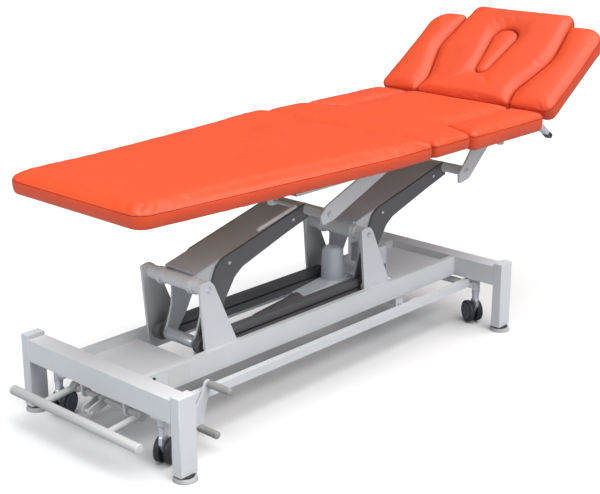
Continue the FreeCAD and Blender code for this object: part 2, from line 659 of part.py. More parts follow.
def face_plug():
    plug = teardrop(-1.5).extrude(V(0, 0, HEAD_PAD_TOP - 3 - BOARD_BOTTOM + 10))
    plug = plug.cut(box(HEAD_START, HEAD_START + 500, -100, 100, 600, PAD_BOTTOM - 8))
    rim = [e for e in plug.Edges if all(v.Z > HEAD_PAD_TOP - 4 for v in e.Vertexes)]
    return tilted(plug.makeFillet(6.0, rim))


def wing_pad():
    gap = 4
    end = HEAD_START + WING_LENGTH
    outline = [(HEAD_START, 190 + gap, 10), (HEAD_START + 62, 174 + gap, 110)]
    outline += [(HEAD_START + 226, 229 + gap, 170), (end, 210, 22), (end, HEAD_HALF_WIDTH, 72)]
    outline += [(HEAD_START, HEAD_HALF_WIDTH, 30)]
    pad = cushion(outline, SIDE_BOTTOM, HEAD_PAD_TOP - 2, 9.0)
    return hinge_barrel(pad, WING_HINGE_X, WING_HINGE_Y, 250)


def left_wing_pad():
    """The left wing also carries the two bearings of its lock lever."""
    wing = mirrored(wing_pad())
    for y in (-252, -284):
        bearing = box(LEVER_X - 8, HEAD_START + 22, y, y + 10, LEVER_Z - 8, SIDE_BOTTOM + 1)
        ahead = box(LEVER_X - 9, HEAD_START, y - 1, y + 11, SIDE_BOTTOM, SIDE_BOTTOM + 2)
        wing = wing.fuse(bearing.cut(ahead))
    wing = wing.removeSplitter()
    return tilted(wing.cut(rod_y(LEVER_X, LEVER_Z, -300, -230, LEVER_R + RUN)))


# ---------------------------------------------------------------- release levers


def leg_release_handle():
    """White bent rod: a shaft in a bearing under the leg board and a long hand grip."""
    corner = V(HANDLE_X, HANDLE_Y, HANDLE_Z)
    root = V(HANDLE_X, HANDLE_ROOT, HANDLE_Z)
    tip = V(HANDLE_X - 140, HANDLE_Y, HANDLE_Z - 33)
    shaft = rod(root, corner, HANDLE_R)
    pieces = [Part.makeSphere(HANDLE_R, corner), rod(corner, tip, HANDLE_R), Part.makeSphere(HANDLE_R, tip)]
    return shaft.fuse(pieces).removeSplitter()


def wing_lock_lever():
    shaft = rod_y(LEVER_X, LEVER_Z, LEVER_Y - 8, -236, LEVER_R)
    paddle = plate_xz([(-7, 8, 5), (7, 8, 5), (7, -LEVER_DROP, 3), (-7, -LEVER_DROP, 3)],
                      LEVER_Y - 12, LEVER_Y + 12, (LEVER_X, LEVER_Z))
    paddle.rotate(V(LEVER_X, 0, LEVER_Z), V(0, 1, 0), -LEVER_LEAN)
    return tilted(shaft.fuse(paddle).removeSplitter())


# ---------------------------------------------------------------- castor lift
ARM_IN = 165.0
ARM_OUT = 173.0
PEDAL_IN = 201.0
PEDAL_OUT = 207.0
BRIDGE_DZ = -42.0


def swing_arm(x):
    outline = [(-13, -13, 12), (-13, 13, 12), (SWING_DX + 8, SWING_DZ + 11, 9), (SWING_DX + 8, SWING_DZ - 11, 9)]
    arm = plate_xz(outline, ARM_IN, ARM_OUT, (x, SWING_Z))
    return arm.cut(rod_y(x + SWING_DX, SWING_Z + SWING_DZ, ARM_IN - 1, ARM_OUT + 1, 6 + RUN))


def swing_shaft(x):
    arm = swing_arm(x)
    shaft = rod_y(x, SWING_Z, -ARM_OUT, ARM_OUT, PIN_R)
    return shaft.fuse([arm, mirrored(arm)])


def castor_lever():
    """Foot-end swing shaft with the outboard pedal plate and its two rubber grips."""
    x = SWING_X[0]
    drop = plate_xz([(-10, 4, 0), (10, 4, 0), (10, BRIDGE_DZ - 9, 8), (-10, BRIDGE_DZ - 9, 8)],
                    -ARM_OUT, -ARM_IN, (x, SWING_Z))
    bridge = rod_y(x, SWING_Z + BRIDGE_DZ, -PEDAL_OUT, -ARM_IN, 6)
    outline = [(-610, 76, 9), (-610, 100, 9), (-556, 122, 30), (-537, 150, 30), (-526, 182, 9)]
    outline += [(-506, 184, 9), (-504, 164, 10), (-518, 128, 30), (-530, 92, 30), (-541, 50, 9)]
    outline += [(-560, 48, 9), (-562, 68, 10), (-560, 88, 8)]
    plate = plate_xz(outline, -PEDAL_OUT, -PEDAL_IN)
    whole = swing_shaft(x).fuse([drop, bridge, plate]).removeSplitter()
    upper = rod(V(-514, -PEDAL_OUT, 172), V(-514, -290, 172), 9.5)
    lower = rod(V(-551, -PEDAL_OUT, 58), V(-551, -278, 58), 9.5)
    grips = [upper, lower]
    return [whole] + [grip.makeFillet(4, [outer_rim(grip)]) for grip in grips]


def outer_rim(grip):
    return min((e for e in grip.Edges if e.Closed), key=lambda e: e.CenterOfMass.y)


def castor_frame():
    """Two long side bars, the head-end cross tube and four castor sleeves."""
    end = CASTOR_X + 9
    bar = box(-end, end, BAR_IN, BAR_OUT, BAR_BOTTOM, BAR_TOP)
    bars = [bar, mirrored(bar)]
    cross = rod_y(CASTOR_X - 6, BAR_BOTTOM + 5, -BAR_OUT - 12, BAR_OUT + 12, 11)
    pieces = bars + [cross]
    for x in SWING_X:
        pin = rod_y(x + SWING_DX, SWING_Z + SWING_DZ, ARM_IN - 3, BAR_IN + 2, 6)
        pieces += [pin, mirrored(pin)]
    bores = []
    for sign_x in (-1, 1):
        for sign_y in (-1, 1):
            x = sign_x * CASTOR_X
            y = sign_y * CASTOR_Y
            pieces.append(rod(V(x, y, 114), V(x, y, 146), 13))
            pieces.append(rod(V(x, sign_y * BAR_OUT * 0.98, 132), V(x, y, 132), 9))
            bores.append(rod(V(x, y, 100), V(x, y, 150), PIN_R + RUN))
    whole = pieces[0].fuse(pieces[1:])
    for bore in bores:
        whole = whole.cut(bore)
    return whole.removeSplitter()


def castor_place(name, shape):
    end, side = name.split("_")
    x = CASTOR_X if end == "head" else -CASTOR_X
    y = -CASTOR_Y if side == "left" else CASTOR_Y
    shape.rotate(V(0, 0, 0), V(0, 0, 1), CASTOR_TURN[name])
    shape.translate(V(x, y, 0))
    return shape


def castor_fork(name):
    """Stem and centre blade, drawn at the origin with the wheels trailing towards +X."""
    stem = rod(V(0, 0, 78), V(0, 0, 147), PIN_R)
    collar = rod(V(0, 0, 84), V(0, 0, 113.6), 11)
    blade = plate_xz([(-14, 88, 8), (14, 88, 10), (40, 46, 10), (32, 30, 10), (8, 32, 10), (-14, 64, 10)], -5, 5)
    axle = rod_y(CASTOR_TRAIL, WHEEL_Z, -24, 24, 4)
    return castor_place(name, stem.fuse([collar, blade, axle]).removeSplitter())


def castor_wheels(name):
    wheels = []
    for y0 in (-23.5, 6.5):
        wheel = rod_y(CASTOR_TRAIL, WHEEL_Z, y0, y0 + 17, WHEEL_R)
        wheel = wheel.makeFillet(5, [e for e in wheel.Edges if e.Closed])
        wheels.append(wheel.cut(rod_y(CASTOR_TRAIL, WHEEL_Z, y0 - 1, y0 + 18, 4 + RUN)))
    return [castor_place(name, wheel) for wheel in wheels]


# ---------------------------------------------------------------- foot bar
def foot_bar():
    """Round bar across the foot end on two arms, rocking on a shaft under the end beam."""
    bar = rod_y(FOOT_BAR_X, FOOT_BAR_Z, -FOOT_BAR_HALF, FOOT_BAR_HALF, FOOT_BAR_R)
    shaft = rod_y(FOOT_SHAFT_X, FOOT_SHAFT_Z, -146, 146, PIN_R)
    pieces = [shaft]
    for y in (-133, 133):
        pieces.append(rod(V(FOOT_SHAFT_X, y, FOOT_SHAFT_Z), V(FOOT_BAR_X, y, FOOT_BAR_Z), 9.5))
        pieces.append(rod_y(FOOT_SHAFT_X, FOOT_SHAFT_Z, y - 12, y + 12, 13))
    for y in (4, 30):
        outline = [(-60, -36, 11), (-58, -8, 11), (6, 13, 12), (12, -12, 12)]
        pieces.append(plate_xz(outline, y, y + 6, (FOOT_SHAFT_X, FOOT_SHAFT_Z)))
    pieces.append(rod_y(FOOT_SHAFT_X - 48, FOOT_SHAFT_Z - 22, 0, 40, 5))
    return bar.fuse(pieces).removeSplitter()


# ---------------------------------------------------------------- all the pieces
def build():
    os.makedirs("parts", exist_ok=True)
    corners = [("foot", -1), ("head", 1)]
    sides = [("left", -1), ("right", 1)]
    caps = []
    feet = []
    for end, sign_x in corners:
        for side, sign_y in sides:
            save("post_" + end + "_" + side, post(sign_x, sign_y))
            caps.append(post_cap(sign_x, sign_y))
            feet.append(levelling_foot(sign_x, sign_y))
        save("beam_" + end, end_beam(sign_x))
    save("post_caps", *caps)
    save("levelling_feet", *feet)
    save("rail_right", long_rail())
    save("rail_left", mirrored(long_rail()))
    save("pedestals_right", *[pedestal(x) for x in PIVOT_X])
    save("pedestals_left", *[mirrored(pedestal(x)) for x in PIVOT_X])
    save("lower_pivot_shafts", *[lower_shaft(x) for x in PIVOT_X])
    save("panel_foot", foot_panel())
    save("panel_head", head_panel())
    save("control_box", *control_box())
    save("actuator_anchor", actuator_anchor())
    save("underframe_hangers", *underframe_hangers())

    for name, x in zip(("foot_arm", "head_arm"), PIVOT_X):
        cover = arm_side_cover(x)
        save(name + "_frame", arm_frame(x))
        save(name + "_top_cover", arm_top_cover(x))
        save(name + "_side_covers", cover, mirrored(cover))
        save(name + "_cross_tube", arm_cross_tube(x))
    save("drag_links", drag_link(), mirrored(drag_link()))

    save("actuator_gearcase", gearcase())
    save("actuator_tube", actuator_tube())
    save("actuator_rod", actuator_rod())

    save("top_rail_right", top_rail())
    save("top_rail_left", mirrored(top_rail()))
    save("top_cross_members", *top_cross_members())
    save("upper_brackets", *upper_brackets())
    save("upper_pivot_bolts", *upper_pivot_bolts())
    save("seat_board", seat_board())
    save("seat_pad", seat_pad())
    save("side_pad_right", side_pad())
    save("side_pad_left", mirrored(side_pad()))
    save("leg_board", leg_board())
    save("leg_pad", leg_pad())
    save("head_board", head_board())
    save("head_pad", head_pad())
    save("face_plug", face_plug())
    save("wing_pad_right", tilted(wing_pad()))
    save("wing_pad_left", left_wing_pad())
    save("leg_release_handle", leg_release_handle())
    save("wing_lock_lever", wing_lock_lever())

    save("castor_lever", *castor_lever())
    save("castor_rocker", swing_shaft(SWING_X[1]).removeSplitter())
    save("castor_frame", castor_frame())
    for name in CASTOR_TURN:
        save("castor_fork_" + name, castor_fork(name))
        save("castor_wheels_" + name, *castor_wheels(name))
    save("foot_bar", foot_bar())


build()
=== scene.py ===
import json
import math

import bmesh
import bpy
import numpy as np
from mathutils import Matrix, Vector, geometry


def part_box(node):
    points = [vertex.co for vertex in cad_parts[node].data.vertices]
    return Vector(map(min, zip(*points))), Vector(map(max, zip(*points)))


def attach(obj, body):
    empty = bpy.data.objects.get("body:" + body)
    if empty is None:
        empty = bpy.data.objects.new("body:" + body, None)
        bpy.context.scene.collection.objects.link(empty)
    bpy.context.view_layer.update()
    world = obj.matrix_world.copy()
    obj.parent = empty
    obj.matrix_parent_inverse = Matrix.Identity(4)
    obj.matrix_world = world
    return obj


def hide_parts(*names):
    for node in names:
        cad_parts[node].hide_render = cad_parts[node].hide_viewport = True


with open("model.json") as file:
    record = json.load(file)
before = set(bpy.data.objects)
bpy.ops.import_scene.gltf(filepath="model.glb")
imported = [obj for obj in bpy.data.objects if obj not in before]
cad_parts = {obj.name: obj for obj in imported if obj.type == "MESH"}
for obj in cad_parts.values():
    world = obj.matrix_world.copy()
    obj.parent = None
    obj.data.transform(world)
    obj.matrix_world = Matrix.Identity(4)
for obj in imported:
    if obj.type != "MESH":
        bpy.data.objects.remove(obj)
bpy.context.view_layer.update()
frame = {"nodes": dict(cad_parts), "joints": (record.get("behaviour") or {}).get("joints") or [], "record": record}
NODES = frame["nodes"]
RECORD = frame["record"]
JOINTS = {j["name"]: j for j in frame["joints"]}
MM = 0.001
HEAD_TILT = math.radians(34.0)      # the head section stands this far up at rest
LEVER_LEAN = 20.0                   # degrees that the wing lever leans from the section's normal
LEVER_TOP_Y = -0.300                # middle of the wing lever, across the couch
FLAP_BOTTOM = 0.6462                # underside of the side and wing cushions, section level
FOOT_BAR_Z = 0.1065
FOOT_BAR_RADIUS = 0.0135
SEAM_CORD_RADIUS = 0.0008
WELD_REACH = 0.00002
# sewn band of a cushion: (share of its height, inset in mm), from the board up to the seam
BAND = [(0.0, 10.0), (0.03, 7.4), (0.1, 5.0), (0.22, 3.1), (0.4, 1.5), (0.6, 0.5), (0.8, 0.4),
        (0.93, 0.8), (1.0, 1.4)]
# rings of points on the top panel, mm in from the seam
RINGS_MM = [0.8, 2.6, 5.6, 9.6, 14.4, 20.0, 26.5]
CROWN_REACH = 0.07                  # distance from the seam over which the crown builds up
EASE_ROUNDS = 14
EASE = 0.8
CLOTH_FRAMES = 20
CLOTH_PRESSURE = 4.0
CLOTH_SHRINK = -0.0024


# ---------------------------------------------------------------- materials
def start_material(name, roughness, metallic=0.0):
    material = bpy.data.materials.new(name)
    material.use_nodes = True
    tree = material.node_tree
    shader = tree.nodes["Principled BSDF"]
    shader.inputs["Roughness"].default_value = roughness
    shader.inputs["Metallic"].default_value = metallic
    return material, tree, shader


def coords(tree, scale=(1, 1, 1)):
    source = tree.nodes.new("ShaderNodeTexCoord")
    mapping = tree.nodes.new("ShaderNodeMapping")
    mapping.inputs["Scale"].default_value = scale
    tree.links.new(source.outputs["Object"], mapping.inputs["Vector"])
    return mapping.outputs["Vector"]


def noise(tree, vector, scale, detail=3.0, roughness=0.5):
    node = tree.nodes.new("ShaderNodeTexNoise")
    node.inputs["Scale"].default_value = scale
    node.inputs["Detail"].default_value = detail
    node.inputs["Roughness"].default_value = roughness
    tree.links.new(vector, node.inputs["Vector"])
    return node.outputs["Fac"]


def ramp(tree, factor, stops):
    node = tree.nodes.new("ShaderNodeValToRGB")
    elements = node.color_ramp.elements
    while len(elements) < len(stops):
        elements.new(0.5)
    for element, (place, colour) in zip(elements, stops):
        element.position = place
        element.color = (*colour, 1.0)
    tree.links.new(factor, node.inputs["Fac"])
    return node.outputs["Color"]


def bump(tree, height, strength, distance, below=None):
    node = tree.nodes.new("ShaderNodeBump")
    node.inputs["Strength"].default_value = strength
    node.inputs["Distance"].default_value = distance
    tree.links.new(height, node.inputs["Height"])
    if below is not None:
        tree.links.new(below, node.inputs["Normal"])
    return node.outputs["Normal"]


def span(tree, factor, low, high):
    node = tree.nodes.new("ShaderNodeMapRange")
    node.inputs["To Min"].default_value = low
    node.inputs["To Max"].default_value = high
    tree.links.new(factor, node.inputs["Value"])
    return node.outputs["Result"]


def shade(colour, factor):
    return tuple(min(1.0, c * factor) for c in colour)


def painted(name, colour, roughness, peel=0.12, spread=0.035, coat=0.0):
    """Powder coat: orange-peel bump, faint mottling, slightly uneven gloss."""
    material, tree, shader = start_material(name, roughness)
    vector = coords(tree)
    broad = noise(tree, vector, 5.0, 2.0)
    stops = [(0.3, shade(colour, 1 - spread)), (0.7, shade(colour, 1 + spread))]
    tree.links.new(ramp(tree, broad, stops), shader.inputs["Base Color"])
    fine = noise(tree, vector, 700.0, 2.0)
    tree.links.new(bump(tree, fine, peel, 0.0004), shader.inputs["Normal"])
    patch = noise(tree, vector, 40.0, 2.0)
    tree.links.new(span(tree, patch, roughness - 0.05, roughness + 0.07), shader.inputs["Roughness"])
    shader.inputs["Coat Weight"].default_value = coat
    return material


def steel(name, colour, roughness):
    """Turned steel: fine rings drawn along Y."""
    material, tree, shader = start_material(name, roughness, 0.6)
    drawn = noise(tree, coords(tree, (60, 900, 60)), 3.0, 3.0)
    stops = [(0.3, shade(colour, 0.9)), (0.7, shade(colour, 1.06))]
    tree.links.new(ramp(tree, drawn, stops), shader.inputs["Base Color"])
    tree.links.new(span(tree, drawn, roughness - 0.06, roughness + 0.1), shader.inputs["Roughness"])
    tree.links.new(bump(tree, drawn, 0.08, 0.0002), shader.inputs["Normal"])
    return material


def vinyl(name, colour):
    """Upholstery vinyl: pebbled grain, faint creases, slightly uneven colour."""
    material, tree, shader = start_material(name, 0.42)
    vector = coords(tree)
    broad = noise(tree, vector, 7.0, 3.0)
    stops = [(0.25, shade(colour, 0.93)), (0.75, shade(colour, 1.05))]
    tree.links.new(ramp(tree, broad, stops), shader.inputs["Base Color"])
    grain = tree.nodes.new("ShaderNodeTexVoronoi")
    grain.feature = "DISTANCE_TO_EDGE"
    grain.inputs["Scale"].default_value = 620.0
    tree.links.new(vector, grain.inputs["Vector"])
    pebbles = bump(tree, span(tree, grain.outputs["Distance"], 0.0, 1.6), 0.22, 0.0004)
    creases = noise(tree, vector, 55.0, 4.0, 0.6)
    tree.links.new(bump(tree, creases, 0.10, 0.0012, pebbles), shader.inputs["Normal"])
    patch = noise(tree, vector, 18.0, 3.0)
    tree.links.new(span(tree, patch, 0.36, 0.50), shader.inputs["Roughness"])
    shader.inputs["Specular IOR Level"].default_value = 0.42
    return material


def plywood(name):
    material, tree, shader = start_material(name, 0.55)
    streaks = noise(tree, coords(tree, (3, 45, 45)), 4.0, 5.0, 0.6)
    stops = [(0.3, (0.42, 0.27, 0.14)), (0.55, (0.60, 0.43, 0.26)), (0.8, (0.70, 0.54, 0.36))]
    tree.links.new(ramp(tree, streaks, stops), shader.inputs["Base Color"])
    tree.links.new(bump(tree, streaks, 0.15, 0.0006), shader.inputs["Normal"])
    return material


def moulded(name, colour, roughness):
    """Moulded plastic or rubber with a fine eroded texture."""
    material, tree, shader = start_material(name, roughness)
    vector = coords(tree)
    fine = noise(tree, vector, 1300.0, 3.0)
    broad = noise(tree, vector, 30.0, 2.0)
    stops = [(0.3, shade(colour, 0.9)), (0.7, shade(colour, 1.1))]
    tree.links.new(ramp(tree, broad, stops), shader.inputs["Base Color"])
    tree.links.new(bump(tree, fine, 0.2, 0.0003), shader.inputs["Normal"])
    tree.links.new(span(tree, broad, roughness - 0.05, roughness + 0.08), shader.inputs["Roughness"])
    return material


LOOK = {
    "powder_coat": painted("light_powder_coat", (0.72, 0.74, 0.765), 0.42),
    "dark_coat": painted("dark_powder_coat", (0.13, 0.13, 0.135), 0.40, spread=0.06),
    "grey_coat": painted("grey_powder_coat", (0.50, 0.51, 0.56), 0.34, spread=0.05),
    "white_coat": painted("white_powder_coat", (0.56, 0.56, 0.56), 0.35),
    "steel": steel("turned_steel", (0.78, 0.81, 0.87), 0.28),
    "actuator_body": painted("actuator_paint", (0.70, 0.76, 0.82), 0.38),
    "board": plywood("plywood"),
    "vinyl": vinyl("orange_vinyl", (0.79, 0.083, 0.022)),
    "wheel": moulded("wheel_rubber", (0.045, 0.048, 0.055), 0.5),
    "foot_plastic": moulded("foot_plastic", (0.52, 0.52, 0.52), 0.45),
}
BLACK_PLASTIC = moulded("black_plastic", (0.022, 0.022, 0.023), 0.42)
GRIP_RUBBER = moulded("grip_rubber", (0.33, 0.33, 0.32), 0.6)
PALE_PLASTIC = moulded("pale_plastic", (0.62, 0.62, 0.60), 0.4)
HUB_PLASTIC = moulded("hub_plastic", (0.13, 0.135, 0.17), 0.42)
# seam cord colour: the orange vinyl darkened to about a third, painted shade of the seam valley
SEAM_SHADE_THREAD = moulded("seam_thread_painted_shade", (0.27, 0.016, 0.007), 0.6)
PLATE = painted("blank_plate", (0.70, 0.70, 0.69), 0.35)

SLOT_OF = {s["node"]: s["material_slot"] for s in RECORD["subparts"]}


def dress_cad():
    """Give every CAD piece its material and soft, slightly rounded edges."""
    for name, obj in NODES.items():
        obj.data.materials.clear()
        obj.data.materials.append(LOOK[SLOT_OF[name]])
        weld = obj.modifiers.new("weld", "WELD")
        weld.merge_threshold = WELD_REACH
        edge = obj.modifiers.new("edge", "BEVEL")
        edge.width = 0.0009
        edge.segments = 2
        edge.limit_method = "ANGLE"
        edge.angle_limit = math.radians(40)
        edge.harden_normals = True
        edge.use_clamp_overlap = True


# ---------------------------------------------------------------- mesh helpers
def make(name, verts, faces, material, body, slot=None, smooth=True, matrix=None):
    mesh = bpy.data.meshes.new(name)
    mesh.from_pydata([tuple(v) for v in verts], [], faces)
    if matrix is not None:
        mesh.transform(matrix)
    mesh.materials.append(material)
    mesh.polygons.foreach_set("use_smooth", [smooth] * len(mesh.polygons))
    mesh.update()
    obj = bpy.data.objects.new(name, mesh)
    bpy.context.scene.collection.objects.link(obj)
    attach(obj, body)
    return obj


def face_outward(obj):
    """Turn every face of a closed piece outward."""
    bm = bmesh.new()
    bm.from_mesh(obj.data)
    bmesh.ops.recalc_face_normals(bm, faces=bm.faces)
    bm.to_mesh(obj.data)
    bm.free()


def merged(parts):
    """Join (verts, faces) pairs into one pair."""
    verts = []
    faces = []
    for part_verts, part_faces in parts:
        base = len(verts)
        verts += [Vector(v) for v in part_verts]
        faces += [tuple(i + base for i in face) for face in part_faces]
    return verts, faces


def placed(part, matrix):
    return [matrix @ Vector(v) for v in part[0]], part[1]


def at(point, axis):
    """Matrix that takes +Z to axis and the origin to point."""
    turn = Vector(axis).to_track_quat("Z", "Y").to_matrix().to_4x4()
    return Matrix.Translation(Vector(point)) @ turn


def lathe(profile, segments=32, shape=None):
    """Turn (radius, height) points about +Z; shape bends a ring, by its index, into a hexagon."""
    verts = []
    faces = []
    for row, (radius, height) in enumerate(profile):
        for i in range(segments):
            angle = 2 * math.pi * i / segments
            reach = radius
            if shape and row in shape:
                wedge = (angle + math.pi / 6) % (math.pi / 3) - math.pi / 6
                reach = radius * math.cos(math.pi / 6) / math.cos(wedge)
            verts.append((reach * math.cos(angle), reach * math.sin(angle), height))
    for row in range(len(profile) - 1):
        for i in range(segments):
            j = (i + 1) % segments
            a, b = row * segments, (row + 1) * segments
            faces.append((a + i, a + j, b + j, b + i))
    faces.append(tuple(reversed(range(segments))))
    last = (len(profile) - 1) * segments
    faces.append(tuple(last + i for i in range(segments)))
    return verts, faces


def socket_screw(radius, height):
    """Button-head screw with a hexagonal socket."""
    hexagon = radius * 0.46
    profile = [(radius * 0.96, 0.0), (radius, height * 0.16), (radius * 0.95, height * 0.5),
               (radius * 0.78, height * 0.84), (radius * 0.62, height), (hexagon * 1.12, height),
               (hexagon, height * 0.94), (hexagon, height * 0.35)]
    return lathe(profile, 24, shape={6, 7})


# ---------------------------------------------------------------- upholstery
def levelled():
    """Matrix from the raised head section to the same section laid level."""
    hinge = Vector(JOINTS["head_tilt"]["pos_m"])
    return Matrix.Translation(hinge) @ Matrix.Rotation(HEAD_TILT, 4, "Y") @ Matrix.Translation(-hinge)


def section_loops(node, height, matrix):
    """Closed outlines of a CAD node where a level plane cuts it."""
    bm = bmesh.new()
    bm.from_mesh(NODES[node].data)
    bm.transform(matrix)
    bmesh.ops.remove_doubles(bm, verts=bm.verts, dist=WELD_REACH)
    everything = bm.verts[:] + bm.edges[:] + bm.faces[:]
    cut = bmesh.ops.bisect_plane(bm, geom=everything, plane_co=(0, 0, height), plane_no=(0, 0, 1))
    edges = [e for e in cut["geom_cut"] if isinstance(e, bmesh.types.BMEdge)]
    around = {}
    for edge in edges:
        a, b = edge.verts
        around.setdefault(a, []).append(b)
        around.setdefault(b, []).append(a)
    loops = []
    left = set(around)
    while left:
        first = min(left, key=lambda v: (v.co.x, v.co.y))
        loop = [first]
        left.discard(first)
        while True:
            onward = [v for v in around[loop[-1]] if v in left]
            if not onward:
                break
            loop.append(onward[0])
            left.discard(onward[0])
        if len(loop) > 8:
            loops.append(np.array([(v.co.x, v.co.y) for v in loop]))
    bm.free()
    return sorted(loops, key=lambda p: -abs(area(p)))


def area(points):
    x, y = points[:, 0], points[:, 1]
    return 0.5 * float(np.sum(x * np.roll(y, -1) - np.roll(x, -1) * y))


def resampled(points, spacing):
    closed = np.vstack([points, points[:1]])
    steps = np.linalg.norm(np.diff(closed, axis=0), axis=1)
    places = np.concatenate([[0], np.cumsum(steps)])
    count = max(16, int(round(places[-1] / spacing)))
    wanted = np.linspace(0, places[-1], count, endpoint=False)
    return np.column_stack([np.interp(wanted, places, closed[:, k]) for k in (0, 1)])


def inward(points):
    ahead = np.roll(points, -1, axis=0) - np.roll(points, 1, axis=0)
    ahead /= np.linalg.norm(ahead, axis=1)[:, None]
    return np.column_stack([-ahead[:, 1], ahead[:, 0]])


def inside(points, loops):
    """Even-odd test of points against closed loops."""
    found = np.zeros(len(points), bool)
    for loop in loops:
        x1, y1 = loop[:, 0], loop[:, 1]
        x2, y2 = np.roll(x1, -1), np.roll(y1, -1)
        for k in range(len(loop)):
            spans = (y1[k] > points[:, 1]) != (y2[k] > points[:, 1])
            rise = (y2[k] - y1[k]) if y2[k] != y1[k] else 1e-12
            cross = (x2[k] - x1[k]) * (points[:, 1] - y1[k]) / rise + x1[k]
            found ^= spans & (points[:, 0] < cross)
    return found


def distance_to(points, loops):
    best = np.full(len(points), 1e9)
    for loop in loops:
        start = loop
        run = np.roll(loop, -1, axis=0) - loop
        length2 = np.maximum((run ** 2).sum(1), 1e-12)
        for begin in range(0, len(points), 2000):
            part = points[begin:begin + 2000]
            rel = part[:, None, :] - start[None]
            t = np.clip((rel * run[None]).sum(2) / length2[None], 0, 1)
            away = rel - t[..., None] * run[None]
            best[begin:begin + 2000] = np.minimum(best[begin:begin + 2000],
                                                  np.sqrt((away ** 2).sum(2)).min(1))
    return best


def fill(loops, spacing, rings):
    """Triangles that fill the loops: ring points near the edge and a hexagonal grid inside."""
    boundary = np.vstack(loops)
    free = []
    for ring in rings:
        for loop in loops:
            points = loop + inward(loop) * ring
            free.append(points[distance_to(points, loops) > ring * 0.9])
    low, high = boundary.min(0), boundary.max(0)
    rows = []
    for r, y in enumerate(np.arange(low[1], high[1], spacing * 0.866)):
        shift = spacing / 2 if r % 2 else 0.0
        xs = np.arange(low[0] + shift, high[0], spacing)
        rows.append(np.column_stack([xs, np.full(len(xs), y)]))
    grid = np.vstack(rows)
    clear = (rings[-1] if rings else 0.0) + spacing * 0.7
    free.append(grid[distance_to(grid, loops) > clear])
    free = np.vstack(free)
    free = free[inside(free, loops)]
    points = np.vstack([boundary, free])
    edges = []
    base = 0
    for loop in loops:
        count = len(loop)
        edges += [(base + i, base + (i + 1) % count) for i in range(count)]
        base += count
    out = geometry.delaunay_2d_cdt([Vector(p) for p in points], edges, [], 0, 1e-7, True)
    verts = np.array([tuple(v) for v in out[0]])
    faces = [tuple(f) for f in out[2]]
    middles = np.array([verts[list(f)].mean(0) for f in faces])
    keep = inside(middles, loops)
    faces = [f for f, k in zip(faces, keep) if k]
    origin = [list(o) for o in out[3]]
    number = {}
    for new, olds in enumerate(origin):
        for old in olds:
            number[old] = new
    return verts, faces, number, len(boundary)


def top_heights(away, triangles, seam, puff, crown, round_reach):
    """Heights of the top panel from each point's distance to the seam, with the ridges relaxed."""
    rise = 1 - np.maximum(0.0, 1 - away / round_reach) ** 2
    heights = seam + puff * np.sqrt(np.maximum(rise, 0.0)) + crown * (1 - np.exp(-away / CROWN_REACH))
    pairs = np.array([(a, b) for t in triangles for a, b in zip(t, t[1:] + t[:1])])
    pairs = np.unique(np.sort(pairs, axis=1), axis=0)
    ends = np.concatenate([pairs[:, 0], pairs[:, 1]])
    others = np.concatenate([pairs[:, 1], pairs[:, 0]])
    count = np.maximum(np.bincount(ends, minlength=len(away)), 1)
    ease = EASE * np.clip((away - 0.006) / 0.016, 0.0, 1.0)
    for _ in range(EASE_ROUNDS):
        mean = np.bincount(ends, weights=heights[others], minlength=len(away)) / count
        heights = heights + ease * (mean - heights)
    return heights


def cushion(name, node, body, bottom, seam, puff, crown, reach, spacing=0.009, matrix=None,
            round_reach=0.034):
    """Boxed cushion: a sewn band, a seam and a crowned top panel, blown up as cloth."""
    level = matrix if matrix is not None else Matrix.Identity(4)
    outlines = section_loops(node, bottom + 0.5 * (seam - bottom), level)
    loops = []
    for k, outline in enumerate(outlines):
        loop = resampled(outline, spacing)
        if (area(loop) > 0) != (k == 0):
            loop = loop[::-1]
        loops.append(loop)
    verts = []
    faces = []
    rows = []
    for share, inset in BAND:
        row = []
        for loop in loops:
            points = loop + inward(loop) * inset * MM
            row.append(list(range(len(verts), len(verts) + len(points))))
            verts += [(p[0], p[1], bottom + (seam - bottom) * share) for p in points]
        rows.append(row)
    for low_row, high_row in zip(rows, rows[1:]):
        for low, high in zip(low_row, high_row):
            count = len(low)
            for i in range(count):
                j = (i + 1) % count
                faces.append((low[i], low[j], high[j], high[i]))
    for row, inset, flip in ((rows[-1], BAND[-1][1], False), (rows[0], BAND[0][1], True)):
        edge = [loop + inward(loop) * inset * MM for loop in loops]
        rings = [] if flip else [r * MM for r in RINGS_MM]
        step = spacing * (4 if flip else 1)
        points, triangles, number, count = fill(edge, step, rings)
        flat = [i for part in row for i in part]
        index = {}
        for old in range(count):
            index[number[old]] = flat[old]
        away = distance_to(points, edge)
        heights = np.full(len(points), bottom)
        if not flip:
            heights = top_heights(away, triangles, seam, puff, crown, round_reach)
        for i, point in enumerate(points):
            if i in index:
                continue
            index[i] = len(verts)
            verts.append((point[0], point[1], heights[i]))
        for triangle in triangles:
            order = [index[i] for i in triangle]
            faces.append(tuple(reversed(order)) if flip else tuple(order))
    held = {i for part in rows[-1] for i in part} | {i for part in rows[0] for i in part}
    obj = make(name, verts, faces, LOOK["vinyl"], body, "vinyl")
    face_outward(obj)
    blow_up(obj, held, bottom, reach)
    seams = [[obj.data.vertices[i].co.copy() for i in part] for part in rows[-1]]
    back = level.inverted()
    obj.data.transform(back)
    smooth = obj.modifiers.new("smooth", "SUBSURF")
    smooth.levels = smooth.render_levels = 1
    apply_modifiers(obj)
    obj.data.polygons.foreach_set("use_smooth", [True] * len(obj.data.polygons))
    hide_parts(node)
    stitch_seams(name + "_seam", seams, back, body)
    return obj


